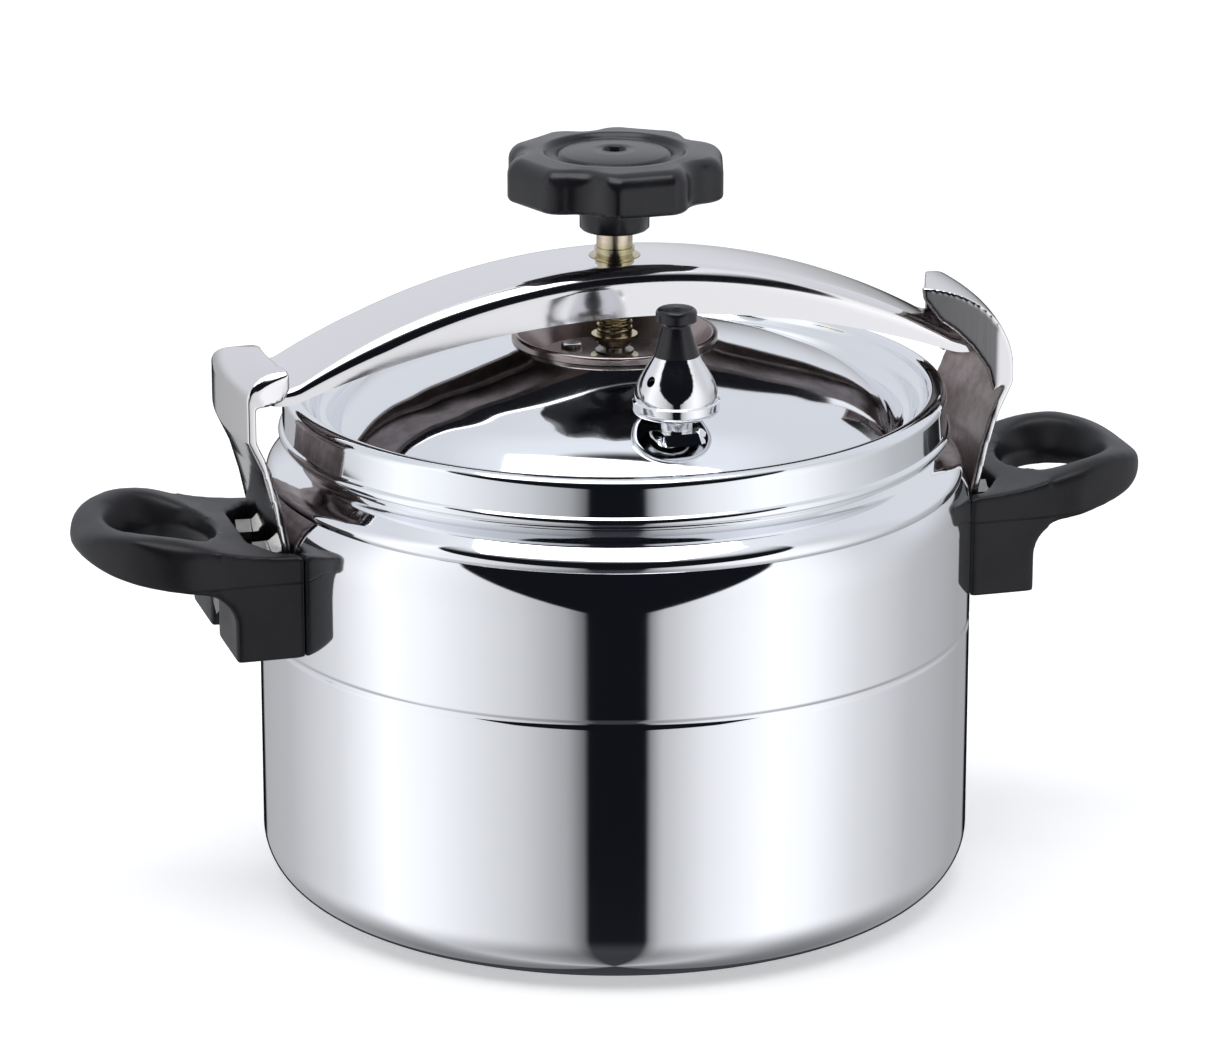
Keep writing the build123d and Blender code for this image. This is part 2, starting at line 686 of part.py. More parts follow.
def slot_outline():
    """Outline of the pocket that the hook's foot and its nuts stand in."""
    half_width = 29.0
    with BuildSketch(Plane.XY.offset(LEG_Z + 19), mode=Mode.PRIVATE) as outline:
        Polygon(
            (HANDLE_BACK_X, -half_width),
            (HOOK_R + 1.1, -half_width),
            (LEG_X - 8, -half_width + 12),
            (LEG_X - 8, half_width - 12),
            (HOOK_R + 1.1, half_width),
            (HANDLE_BACK_X, half_width),
            align=None,
        )
    return outline.sketch


def make_handles():
    """Moulded loop handle with leg, finger hole, hook slot and bolt recess, the same on both sides."""
    hole = (15.0, 20.0)
    flare = 6.0
    waist_z = LEG_Z + 32.0
    recess = 11.0
    with BuildPart() as handle:
        extrude(handle_side(), amount=HANDLE_HALF_WIDTH + 4, both=True)
        extrude(handle_plan(), amount=HANDLE_TOP_Z + 10, mode=Mode.INTERSECT)
        extrude(handle_front(), amount=HANDLE_TIP_X, mode=Mode.INTERSECT)
        with Locations((0, 0, LEG_Z)):
            Cylinder(BODY_R + 0.15, 200, mode=Mode.SUBTRACT)
        extrude(oval(LEG_Z, *hole), amount=60, mode=Mode.SUBTRACT)
        waist = oval(waist_z, hole[0] - 0.2, hole[1] - 0.2)
        for mouth_z in (HANDLE_TOP_Z + 1, LEG_Z + 21):
            mouth = oval(mouth_z, hole[0] + flare, hole[1] + flare)
            loft(sections=[waist, mouth], mode=Mode.SUBTRACT)
        extrude(slot_outline(), amount=40, mode=Mode.SUBTRACT)
        with BuildSketch(Plane.XY.offset(LEG_Z + 5)):
            Rectangle(HOOK_R + HOOK_SHEET + 0.3, 52, align=(Align.MIN, Align.CENTER))
        extrude(amount=40, mode=Mode.SUBTRACT)
        with Locations((LEG_X, 0, LOWER_BOLT_Z)):
            Box(recess, recess, 2 * (LOWER_BOLT_Z - LEG_Z) + 2, mode=Mode.SUBTRACT)
        radial_rod(BOLT_R + 0.1, BODY_R, LEG_X, [Location((0, 0, LOWER_BOLT_Z))], Mode.SUBTRACT)
    with BuildPart() as handle_right:
        add(handle.part)
    with BuildPart() as handle_left:
        add(handle.part, rotation=(0, 0, 180))
    save(handle_right, "handle_right")
    save(handle_left, "handle_left")


def make_body_fasteners():
    """Bolts from inside the pot through seal, wall, hook and handle, with a nut on each."""
    inside_r = BODY_R - BODY_WALL
    upper = side_locations(UPPER_BOLT_Z, upper_bolt_angle())
    lower = side_locations(LOWER_BOLT_Z)
    upper_nut = (HOOK_R + HOOK_SHEET + 0.1, HOOK_R + HOOK_SHEET + 5.1)
    lower_nut = (LEG_X - 5.4, LEG_X - 0.6)
    with BuildPart() as body_bolts:
        for places, end in ((upper, upper_nut[1] + 1), (lower, lower_nut[1])):
            radial_rod(BOLT_R, inside_r - 4, end, places)
            radial_rod(5.5, inside_r - 4.6, inside_r - 2, places)
    with BuildPart() as body_seals:
        radial_rod(6, inside_r - 1.9, inside_r - 0.5, upper + lower)
        radial_rod(BOLT_R + 0.02, inside_r - 3, inside_r + 1, upper + lower, Mode.SUBTRACT)
    with BuildPart() as body_nuts:
        for places, (start, end) in ((upper, upper_nut), (lower, lower_nut)):
            for place in places:
                angle = place.orientation.Z
                with BuildSketch(radial_nut_plane(angle, start, place.position.Z)):
                    RegularPolygon(5, 6, major_radius=False, rotation=30)
                    Circle(BOLT_R + 0.02, mode=Mode.SUBTRACT)
                extrude(amount=end - start)
    save(body_bolts, "body_bolts")
    save(body_seals, "body_seals")
    save(body_nuts, "body_nuts")


def radial_nut_plane(angle, radius, z):
    """Plane that faces out from the pot's axis at the given radius and height."""
    turn = radians(angle)
    return Plane(
        origin=(radius * cos(turn), radius * sin(turn), z),
        x_dir=(-sin(turn), cos(turn), 0),
        z_dir=(cos(turn), sin(turn), 0),
    )


def make_valve_seal_and_nut(name, y):
    """Seal and nut that hold a valve's stem under the lid."""
    bore = 4.05
    with BuildPart() as seal:
        with BuildSketch(Plane.XY.offset(PAD_UNDER_Z - 1.6)):
            with Locations((0, y)):
                Circle(8)
                Circle(bore, mode=Mode.SUBTRACT)
        extrude(amount=1.5)
    with BuildPart() as nut:
        with BuildSketch(Plane.XY.offset(PAD_UNDER_Z - 5)):
            with Locations((0, y)):
                RegularPolygon(6.5, 6, major_radius=False)
                Circle(bore, mode=Mode.SUBTRACT)
        extrude(amount=3.3)
    save(seal, f"{name}_seal")
    save(nut, f"{name}_nut")


def make_vent():
    """Vent stem through the lid, and the filter below it."""
    under = PAD_UNDER_Z
    with BuildPart() as vent_stem:
        with BuildSketch(Plane.XZ.offset(VALVE_Y)):
            with BuildLine():
                Polyline(
                    (1.2, under - 6),
                    (4.0, under - 6),
                    (4.0, PAD_Z + 0.05),
                    (5.3, PAD_Z + 0.05),
                    (5.3, PAD_Z + 3.2),
                    (2.9, PAD_Z + 3.2),
                    (2.9, 190.0),
                    (1.3, 193.0),
                    (0.8, 193.0),
                    (0.8, 190.0),
                    (1.2, 189.0),
                    close=True,
                )
            make_face()
        revolve(axis=Axis((0, -VALVE_Y, 0), (0, 0, 1)))
    with BuildPart() as vent_filter:
        with BuildSketch(Plane.XZ.offset(VALVE_Y)):
            with BuildLine():
                Polyline(
                    (4.05, under - 5.2),
                    (7.5, under - 5.2),
                    (7.5, under - 11),
                    (0, under - 11),
                    (0, under - 10),
                    (6.5, under - 10),
                    (6.5, under - 6.2),
                    (4.05, under - 6.2),
                    close=True,
                )
            make_face()
        revolve(axis=Axis((0, -VALVE_Y, 0), (0, 0, 1)))
        with Locations((0, -VALVE_Y, under - 10.5)):
            with PolarLocations(4, 6):
                Cylinder(0.9, 4, mode=Mode.SUBTRACT)
    save(vent_stem, "vent_stem")
    make_valve_seal_and_nut("vent", -VALVE_Y)
    save(vent_filter, "vent_filter")


def make_regulator():
    """Chromed bell that stands on the vent stem, with two steam holes, and its black cap."""
    axis = Axis((0, -VALVE_Y, 0), (0, 0, 1))
    foot_z = PAD_Z + 5.4
    bell_z = 200.0
    with BuildPart() as regulator_weight:
        with BuildSketch(Plane.XZ.offset(VALVE_Y)):
            with BuildLine():
                Polyline(
                    (0, 196),
                    (1.6, 196),
                    (1.6, 192.54),
                    (3.3, 189.35),
                    (3.3, foot_z + 2.4),
                    (6.5, foot_z + 1.6),
                    (12.4, foot_z),
                )
                ThreePointArc((12.4, foot_z), (13.9, foot_z + 0.8), (14.2, foot_z + 2.2))
                Line((14.2, foot_z + 2.2), (14.2, foot_z + 4.4))
                Line((14.2, foot_z + 4.4), (13.5, foot_z + 4.9))
                Spline((13.5, foot_z + 4.9), (12.9, foot_z + 9.5), (10.4, bell_z - 5), (7.4, bell_z))
                Polyline((7.4, bell_z), (4.2, bell_z), (4.2, bell_z + 6), (0, bell_z + 6), (0, 196))
            make_face()
        revolve(axis=axis)
        with Locations(Location((0, -VALVE_Y, 193.2), (0, 0, 28))):
            with Locations(Location((0, 0, 0), (0, 90, 0))):
                Cylinder(1.6, 40, mode=Mode.SUBTRACT)
    with BuildPart() as regulator_cap:
        with BuildSketch(Plane.XZ.offset(VALVE_Y)):
            with BuildLine():
                Polyline((4.22, bell_z + 0.1), (7.5, bell_z + 0.1), (5.9, bell_z + 5), (4.6, bell_z + 9.6))
                ThreePointArc((4.6, bell_z + 9.6), (5.0, bell_z + 10.6), (6.0, bell_z + 11))
                Polyline((6.0, bell_z + 11), (6.7, bell_z + 11.6), (6.7, bell_z + 14))
                ThreePointArc((6.7, bell_z + 14), (6.2, bell_z + 15.1), (5.0, bell_z + 15.6))
                Polyline(
                    (5.0, bell_z + 15.6),
                    (0, bell_z + 15.8),
                    (0, bell_z + 6.02),
                    (4.22, bell_z + 6.02),
                    (4.22, bell_z + 0.1),
                )
            make_face()
        revolve(axis=axis)
    save(regulator_weight, "regulator_weight")
    save(regulator_cap, "regulator_cap")


def make_safety_valve():
    """Spring-loaded relief valve behind the beam: body, plunger, spring and cap, then its seal and nut."""
    under = PAD_UNDER_Z
    axis = Axis((0, VALVE_Y, 0), (0, 0, 1))
    top_z = PAD_Z + 8.5
    with BuildPart() as safety_valve_body:
        with BuildSketch(Plane.XZ.offset(-VALVE_Y)):
            with BuildLine():
                Polyline(
                    (1.6, under - 6),
                    (4.0, under - 6),
                    (4.0, PAD_Z + 0.05),
                    (6.8, PAD_Z + 0.05),
                    (6.8, top_z),
                    (4.6, top_z),
                    (4.6, PAD_Z + 1.4),
                    (1.6, PAD_Z + 0.4),
                    close=True,
                )
            make_face()
        revolve(axis=axis)
    with BuildPart() as safety_valve_cap:
        with BuildSketch(Plane.XZ.offset(-VALVE_Y)):
            with BuildLine():
                Polyline(
                    (1.5, top_z + 0.05),
                    (6.8, top_z + 0.05),
                    (6.8, top_z + 1.4),
                    (5.6, top_z + 2.4),
                    (1.5, top_z + 2.4),
                    close=True,
                )
            make_face()
        revolve(axis=axis)
    with BuildPart() as safety_valve_plunger:
        with BuildSketch(Plane.XZ.offset(-VALVE_Y)):
            with BuildLine():
                Polyline(
                    (0, PAD_Z + 0.6),
                    (1.4, PAD_Z + 0.9),
                    (3.6, PAD_Z + 1.9),
                    (3.6, PAD_Z + 3.0),
                    (1.4, PAD_Z + 3.0),
                    (1.4, top_z + 3.6),
                    (0.9, top_z + 4.1),
                    (0, top_z + 4.1),
                    close=True,
                )
            make_face()
        revolve(axis=axis)
    coil_r = 2.9
    wire = 0.35
    with BuildPart() as safety_valve_spring:
        with BuildLine():
            coil = Helix(pitch=1.2, height=4.6, radius=coil_r, center=(0, VALVE_Y, PAD_Z + 3.45))
        with BuildSketch(Plane(origin=coil @ 0, z_dir=coil % 0)):
            Circle(wire)
        sweep()
    for name, piece in (
        ("safety_valve_body", safety_valve_body),
        ("safety_valve_cap", safety_valve_cap),
        ("safety_valve_plunger", safety_valve_plunger),
        ("safety_valve_spring", safety_valve_spring),
    ):
        save(piece, name)
    make_valve_seal_and_nut("safety_valve", VALVE_Y)


def main():
    """Make every piece."""
    os.makedirs("parts", exist_ok=True)
    make_pot_body()
    make_lid()
    make_lid_gasket()
    make_pressure_cup()
    make_cup_rivets()
    make_clamp_beam()
    make_beam_nut()
    make_clamp_screw()
    make_screw_rings()
    make_knob()
    make_knob_insert()
    make_hooks()
    make_handles()
    make_body_fasteners()
    make_vent()
    make_regulator()
    make_safety_valve()


main()
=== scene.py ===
"""Looks of the stovetop pressure cooker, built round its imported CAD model. Metres, in the part's frame."""

import json
from math import cos, pi, radians, sin

import bmesh
import bpy
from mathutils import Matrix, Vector


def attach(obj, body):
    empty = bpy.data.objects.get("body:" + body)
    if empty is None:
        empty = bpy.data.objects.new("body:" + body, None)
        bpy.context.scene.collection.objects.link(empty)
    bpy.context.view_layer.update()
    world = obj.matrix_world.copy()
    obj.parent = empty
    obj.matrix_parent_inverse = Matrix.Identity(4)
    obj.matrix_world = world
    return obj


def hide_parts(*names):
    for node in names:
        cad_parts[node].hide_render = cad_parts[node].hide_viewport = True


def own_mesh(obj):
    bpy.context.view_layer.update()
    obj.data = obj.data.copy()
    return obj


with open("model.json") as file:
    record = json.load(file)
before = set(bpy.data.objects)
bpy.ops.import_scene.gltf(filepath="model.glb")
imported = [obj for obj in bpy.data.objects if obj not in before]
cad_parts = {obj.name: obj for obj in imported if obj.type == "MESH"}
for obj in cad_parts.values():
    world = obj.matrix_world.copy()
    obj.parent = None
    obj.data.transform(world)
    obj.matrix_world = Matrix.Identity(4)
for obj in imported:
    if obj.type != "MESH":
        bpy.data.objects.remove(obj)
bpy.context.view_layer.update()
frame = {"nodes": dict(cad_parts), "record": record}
nodes = frame["nodes"]
MM = 0.001
LATHE_STEPS = 288

# Sizes of the object in millimetres, as in its CAD
SHEET = 3.0
VALVE_Y = 72
KNOB_LOBES = 5
KNOB_TURN = 16
THREAD_PITCH = 2.0
BEAM_HALF_WIDTH = 20.0
BEAM_TIP_X = 127.0

# The photograph's viewing direction: seen from slightly left of the front and from above.
CAMERA_AZIMUTH = -16.0
CAMERA_ELEVATION = 17.7
CAMERA_DISTANCE = 1.9
CAMERA_TARGET_Z = 0.1185
LENS = 167.0
FRAME_SHIFT = -0.0062


# Node helpers


def link_or_set(tree, socket, value):
    """Link a socket to another one, or set it to a plain value."""
    if isinstance(value, bpy.types.NodeSocket):
        tree.links.new(value, socket)
    else:
        socket.default_value = value


def math_node(tree, operation, *values):
    """Result of a math node; inputs are sockets or numbers."""
    node = tree.nodes.new("ShaderNodeMath")
    node.operation = operation
    for socket, value in zip(node.inputs, values):
        link_or_set(tree, socket, value)
    return node.outputs[0]


def smooth_step(tree, value, low, high, to_low=0.0, to_high=1.0):
    """Blend from to_low to to_high while value goes from low to high."""
    node = tree.nodes.new("ShaderNodeMapRange")
    node.interpolation_type = "SMOOTHSTEP"
    link_or_set(tree, node.inputs["Value"], value)
    link_or_set(tree, node.inputs["From Min"], low)
    link_or_set(tree, node.inputs["From Max"], high)
    link_or_set(tree, node.inputs["To Min"], to_low)
    link_or_set(tree, node.inputs["To Max"], to_high)
    return node.outputs[0]


def grey_ramp(tree, factor, stops):
    """Ramp of greys from (place, brightness) stops."""
    node = tree.nodes.new("ShaderNodeValToRGB")
    elements = node.color_ramp.elements
    while len(elements) < len(stops):
        elements.new(1.0)
    for element, (place, grey) in zip(elements, stops):
        element.position = place
        element.color = (grey, grey, grey, 1.0)
    tree.links.new(factor, node.inputs["Fac"])
    return node.outputs["Color"]


def mix_colour(tree, factor, first, second, blend="MIX"):
    """Mix of two colours, each a socket or a plain colour."""
    node = tree.nodes.new("ShaderNodeMix")
    node.data_type = "RGBA"
    node.blend_type = blend
    link_or_set(tree, node.inputs["Factor"], factor)
    for socket, value in ((node.inputs[6], first), (node.inputs[7], second)):
        link_or_set(tree, socket, (*value, 1.0) if isinstance(value, tuple) else value)
    return node.outputs[2]


def noise(tree, vector, scale, detail=3.0, roughness=0.5):
    """Factor of a noise texture at a position."""
    node = tree.nodes.new("ShaderNodeTexNoise")
    node.inputs["Scale"].default_value = scale
    node.inputs["Detail"].default_value = detail
    node.inputs["Roughness"].default_value = roughness
    tree.links.new(vector, node.inputs["Vector"])
    return node.outputs["Fac"]


def bump(tree, height, distance):
    """Normal from a height, with the bump distance in metres."""
    node = tree.nodes.new("ShaderNodeBump")
    node.inputs["Strength"].default_value = 1.0
    node.inputs["Distance"].default_value = distance
    tree.links.new(height, node.inputs["Height"])
    return node.outputs["Normal"]


def object_position(tree):
    """Position in the object's own frame."""
    return tree.nodes.new("ShaderNodeTexCoord").outputs["Object"]


def stretched(tree, vector, scale):
    """Position scaled by a factor of its own along each axis."""
    node = tree.nodes.new("ShaderNodeVectorMath")
    node.operation = "MULTIPLY"
    tree.links.new(vector, node.inputs[0])
    node.inputs[1].default_value = scale
    return node.outputs[0]


def spun_position(tree, ring_scale, round_scale):
    """Coordinates for marks that run in rings round the vertical axis."""
    split = tree.nodes.new("ShaderNodeSeparateXYZ")
    tree.links.new(object_position(tree), split.inputs[0])
    x, y, z = split.outputs
    squares = [math_node(tree, "POWER", side, 2.0) for side in (x, y)]
    radius = math_node(tree, "SQRT", math_node(tree, "ADD", *squares))
    safe_radius = math_node(tree, "MAXIMUM", radius, 0.001)
    join = tree.nodes.new("ShaderNodeCombineXYZ")
    height = math_node(tree, "ADD", radius, z)
    tree.links.new(math_node(tree, "MULTIPLY", height, ring_scale), join.inputs[0])
    for side, socket in zip((x, y), join.inputs[1:]):
        share = math_node(tree, "DIVIDE", side, safe_radius)
        tree.links.new(math_node(tree, "MULTIPLY", share, round_scale), socket)
    return join.outputs[0]


def new_material(name):
    """Empty node material and its Principled shader."""
    material = bpy.data.materials.new(name)
    material.use_nodes = True
    tree = material.node_tree
    return material, tree, tree.nodes["Principled BSDF"]


def range_of(tree, factor, low, high):
    """Noise factor spread over the values from low to high."""
    return smooth_step(tree, factor, 0.3, 0.7, low, high)


# Materials


def inner_faces(tree, axis, below=False):
    """Mask of the faces that look back at an axis's middle plane and, if asked, of those that look down."""
    coordinates = tree.nodes.new("ShaderNodeTexCoord")
    place = tree.nodes.new("ShaderNodeSeparateXYZ")
    tree.links.new(coordinates.outputs["Object"], place.inputs[0])
    facing = tree.nodes.new("ShaderNodeSeparateXYZ")
    tree.links.new(coordinates.outputs["Normal"], facing.inputs[0])
    side = math_node(tree, "SIGN", place.outputs[axis])
    outward = math_node(tree, "MULTIPLY", facing.outputs[axis], side)
    inward = math_node(tree, "MULTIPLY", outward, -1.0)
    mask = smooth_step(tree, inward, 0.25, 0.6)
    if below:
        down = math_node(tree, "MULTIPLY", facing.outputs[2], -1.0)
        mask = math_node(tree, "MAXIMUM", mask, smooth_step(tree, down, 0.35, 0.6))
    return mask


def polished_metal(name, tint, roughness, marks, mark_depth, haze=0.03, stain_and_shade=None):
    """Polished metal: fine marks from its forming, a faint haze and, on some pieces, inner and downward faces
    painted dark brown, partly painted shade and partly mottled stain.
    """
    material, tree, shader = new_material(name)
    position = object_position(tree)
    coordinates = marks(tree)
    fine = noise(tree, coordinates, 1.0, 4.0, 0.6)
    cloud = noise(tree, position, 28.0, 3.0)
    dark = tuple(channel * (1.0 - haze) for channel in tint)
    colour = mix_colour(tree, cloud, dark, tint)
    clouded = range_of(tree, cloud, roughness * 0.8, roughness * 1.2)
    rough = math_node(tree, "ADD", clouded, math_node(tree, "MULTIPLY", fine, roughness * 0.3))
    # Painted shade with stain patches: faces that look inward, and down if asked, get a mottled dark brown.
    if stain_and_shade:
        axis, below, light_stain_and_shade, dark_stain_and_shade, stain_and_shade_rough = stain_and_shade
        inner = inner_faces(tree, axis, below)
        patches = range_of(tree, noise(tree, position, 60.0, 6.0, 0.7), 0.0, 1.0)
        colour = mix_colour(tree, inner, colour, mix_colour(tree, patches, dark_stain_and_shade, light_stain_and_shade))
        rough = math_node(tree, "ADD", rough, math_node(tree, "MULTIPLY", inner, stain_and_shade_rough))
    shader.inputs["Metallic"].default_value = 1.0
    tree.links.new(colour, shader.inputs["Base Color"])
    tree.links.new(rough, shader.inputs["Roughness"])
    tree.links.new(bump(tree, fine, mark_depth), shader.inputs["Normal"])
    return material


def rings(tree):
    """Coordinates of turning marks, round the upright axis."""
    return spun_position(tree, 900.0, 2.0)


def lengthwise(tree):
    """Coordinates of marks drawn out along x."""
    return stretched(tree, object_position(tree), (14.0, 700.0, 700.0))


def upright(tree):
    """Coordinates of marks drawn out along z."""
    return stretched(tree, object_position(tree), (600.0, 600.0, 20.0))


def mottled(tree):
    """Coordinates of marks with no direction."""
    return stretched(tree, object_position(tree), (260.0, 260.0, 260.0))


def moulded_plastic(name, colour, roughness, shine=0.27, parting_z=None):
    """Phenolic moulding: fine grain, dull patches from handling, and a parting line at a height if given."""
    material, tree, shader = new_material(name)
    position = object_position(tree)
    grain = noise(tree, position, 2600.0, 2.0)
    cloud = noise(tree, position, 45.0, 4.0)
    worn = tuple(channel * 1.7 + 0.004 for channel in colour)
    handled = range_of(tree, cloud, 0.0, 1.0)
    tree.links.new(mix_colour(tree, handled, colour, worn), shader.inputs["Base Color"])
    tree.links.new(range_of(tree, cloud, roughness * 0.85, roughness * 1.15), shader.inputs["Roughness"])
    height = grain
    if parting_z:
        split = tree.nodes.new("ShaderNodeSeparateXYZ")
        tree.links.new(position, split.inputs[0])
        away = math_node(tree, "ABSOLUTE", math_node(tree, "SUBTRACT", split.outputs[2], parting_z))
        seam = smooth_step(tree, away, 0.0, 0.0005, 6.0, 0.0)
        height = math_node(tree, "SUBTRACT", grain, seam)
    tree.links.new(bump(tree, height, 0.00004), shader.inputs["Normal"])
    shader.inputs["Specular IOR Level"].default_value = shine
    return material


def soft_rubber(name, colour):
    """Dull moulded rubber with a fine grain."""
    material, tree, shader = new_material(name)
    position = object_position(tree)
    cloud = noise(tree, position, 90.0, 4.0)
    worn = tuple(channel * 0.75 for channel in colour)
    tree.links.new(mix_colour(tree, cloud, worn, colour), shader.inputs["Base Color"])
    tree.links.new(range_of(tree, cloud, 0.55, 0.75), shader.inputs["Roughness"])
    tree.links.new(bump(tree, noise(tree, position, 1500.0), 0.00003), shader.inputs["Normal"])
    return material


def plated_zinc(name, first, second, roughness):
    """Passivated zinc: two tints that drift into each other."""
    material, tree, shader = new_material(name)
    position = object_position(tree)
    drift = noise(tree, stretched(tree, position, (60.0, 60.0, 160.0)), 1.0, 3.0)
    shader.inputs["Metallic"].default_value = 1.0
    share = range_of(tree, drift, 0.0, 1.0)
    tree.links.new(mix_colour(tree, share, first, second), shader.inputs["Base Color"])
    tree.links.new(range_of(tree, drift, roughness, roughness * 1.6), shader.inputs["Roughness"])
    tree.links.new(bump(tree, noise(tree, position, 900.0), 0.00002), shader.inputs["Normal"])
    return material


MATERIALS = {
    "pot_aluminium": polished_metal("polished_pot", (0.86, 0.87, 0.90), 0.045, rings, 0.0000015),
    "lid_aluminium": polished_metal("polished_lid", (0.84, 0.86, 0.89), 0.05, rings, 0.0000015),
    "cup_steel": polished_metal("dish_steel", (0.36, 0.31, 0.30), 0.20, rings, 0.000003),
    "cup_rivets": polished_metal("rivet_aluminium", (0.72, 0.72, 0.72), 0.22, rings, 0.000002),
    "beam_steel": polished_metal(
        "beam_steel",
        (0.84, 0.83, 0.84),
        0.07,
        lengthwise,
        0.000002,
        # Painted shade: the channel's inner faces and its underside are darkened to a mottled brown.
        stain_and_shade=(1, True, (0.36, 0.31, 0.30), (0.20, 0.165, 0.155), 0.22),
    ),
    "hook_steel": polished_metal(
        "hook_steel",
        (0.80, 0.79, 0.80),
        0.11,
        upright,
        0.000003,
        # Partly real stain, partly painted shade: the inner faces that look toward the pot are darkened to a
        # mottled brown.
        stain_and_shade=(0, False, (0.40, 0.34, 0.33), (0.19, 0.15, 0.14), 0.22),
    ),
    "weight_chrome": polished_metal("weight_chrome", (0.84, 0.84, 0.86), 0.07, mottled, 0.00006),
    "stem_chrome": polished_metal("stem_chrome", (0.72, 0.72, 0.73), 0.10, upright, 0.000001),
    "valve_brass": polished_metal("valve_brass", (0.75, 0.60, 0.34), 0.18, upright, 0.000002),
    "handle_plastic": moulded_plastic("handle_plastic", (0.0075, 0.0075, 0.0095), 0.36, parting_z=0.1217),
    "knob_plastic": moulded_plastic("knob_plastic", (0.0055, 0.0055, 0.0075), 0.22, shine=0.4),
    "gasket_rubber": soft_rubber("gasket_rubber", (0.50, 0.49, 0.46)),
    "seal_rubber": soft_rubber("seal_rubber", (0.03, 0.03, 0.03)),
    "fastener_steel": plated_zinc("fastener_zinc", (0.22, 0.22, 0.22), (0.38, 0.37, 0.35), 0.22),
    "screw_zinc": plated_zinc("screw_zinc", (0.46, 0.42, 0.24), (0.72, 0.62, 0.50), 0.16),
}


RECORD = frame["record"]
BODIES = RECORD["behaviour"]["bodies"]
SLOT_OF = {subpart["node"]: subpart["material_slot"] for subpart in RECORD["subparts"]}
BODY_OF = {node: body for body, members in BODIES.items() for node in members}


def dress_cad_nodes():
    """Give each CAD node the material of its slot in the record."""
    for name, slot_name in SLOT_OF.items():
        for slot in nodes[name].material_slots:
            slot.material = MATERIALS[slot_name]


# Mesh helpers


def finish_piece(bm, name, node, crease=32.0):
    """Turn a bmesh into a piece that stands for a CAD node and takes its body and material."""
    bmesh.ops.remove_doubles(bm, verts=bm.verts, dist=0.000001)
    bmesh.ops.recalc_face_normals(bm, faces=bm.faces)
    mesh = bpy.data.meshes.new(name)
    bm.to_mesh(mesh)
    bm.free()
    return place_piece(mesh, name, node, crease)


def place_piece(mesh, name, node, crease=32.0):
    """Stand a mesh in for a CAD node: same body, same material, edges sharper than crease kept sharp."""
    mesh.shade_smooth()
    mesh.set_sharp_from_angle(angle=radians(crease))
    mesh.materials.clear()
    mesh.materials.append(MATERIALS[SLOT_OF[node]])
    piece = bpy.data.objects.new(name, mesh)
    bpy.context.collection.objects.link(piece)
    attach(piece, BODY_OF[node])
    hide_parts(node)
    return piece


def arc(centre, radius, start, end, steps=10):
    """Points along an arc in the (radius, height) plane, its angles in degrees."""
    angles = [radians(start + (end - start) * step / steps) for step in range(steps + 1)]
    return [(centre[0] + radius * cos(angle), centre[1] + radius * sin(angle)) for angle in angles]


def curve_through(points, steps=8):
    """Smooth curve through a few points of the (radius, height) plane."""
    ends = [points[0], *points, points[-1]]
    curve = []
    for before, start, end, after in zip(ends, ends[1:], ends[2:], ends[3:]):
        for step in range(steps):
            t = step / steps
            weights = (
                -t * (1 - t) ** 2 / 2,
                (2 - 5 * t**2 + 3 * t**3) / 2,
                (t + 4 * t**2 - 3 * t**3) / 2,
                -(t**2) * (1 - t) / 2,
            )
            pairs = list(zip(weights, (before, start, end, after)))
            curve.append(tuple(sum(weight * point[axis] for weight, point in pairs) for axis in (0, 1)))
    return [*curve, points[-1]]


def lathed(outline):
    """Surface of revolution from an outline in millimetres, round the upright axis."""
    bm = bmesh.new()
    verts = [bm.verts.new((radius * MM, 0, height * MM)) for radius, height in outline]
    edges = [bm.edges.new(pair) for pair in zip(verts, verts[1:])]
    bmesh.ops.spin(
        bm,
        geom=verts + edges,
        cent=(0, 0, 0),
        axis=(0, 0, 1),
        angle=2 * pi,
        steps=LATHE_STEPS,
        use_merge=True,
    )
    return bm


def ring_mesh(rows):
    """Closed mesh from rings of (radius, height) points round the upright axis, lowest ring first."""
    bm = bmesh.new()
    grid = []
    for row in rows:
        ring = []
        for column, (radius, height) in enumerate(row):
            turn = 2 * pi * column / len(row)
            ring.append(bm.verts.new((radius * cos(turn) * MM, radius * sin(turn) * MM, height * MM)))
        grid.append(ring)
    join_loops(bm, grid)
    return bm


def join_loops(bm, loops):
    """Faces between neighbouring loops of equally many vertices, and one face on each end."""
    for first, second in zip(loops, loops[1:]):
        for index in range(len(first)):
            after = (index + 1) % len(first)
            bm.faces.new((first[index], first[after], second[after], second[index]))
    bm.faces.new(loops[0])
    bm.faces.new(loops[-1])


def evaluated_mesh(piece):
    """New mesh with the modifiers of an object applied."""
    return bpy.data.meshes.new_from_object(piece.evaluated_get(bpy.context.evaluated_depsgraph_get()))


def softened(name, node, voxel, passes, outer_from=None, outer_passes=0):
    """Copy of a CAD node with its edges rounded by pressing or moulding, more so beyond outer_from."""
    copy = bpy.data.objects.new(name + "_source", nodes[node].data.copy())
    bpy.context.collection.objects.link(copy)
    remesh = copy.modifiers.new("remesh", "REMESH")
    remesh.mode = "VOXEL"
    remesh.voxel_size = voxel * MM
    smooth = copy.modifiers.new("smooth", "SMOOTH")
    smooth.factor = 0.5
    smooth.iterations = passes
    mesh = evaluated_mesh(copy)
    bpy.data.objects.remove(copy)
    mesh.name = name
    if outer_from:
        bm = bmesh.new()
        bm.from_mesh(mesh)
        outer = [vert for vert in bm.verts if abs(vert.co.x) > outer_from * MM]
        for _ in range(outer_passes):
            bmesh.ops.smooth_vert(
                bm, verts=outer, factor=0.5, use_axis_x=True, use_axis_y=True, use_axis_z=True
            )
        bm.to_mesh(mesh)
        bm.free()
    return place_piece(mesh, name, node, 60.0)


# Pieces


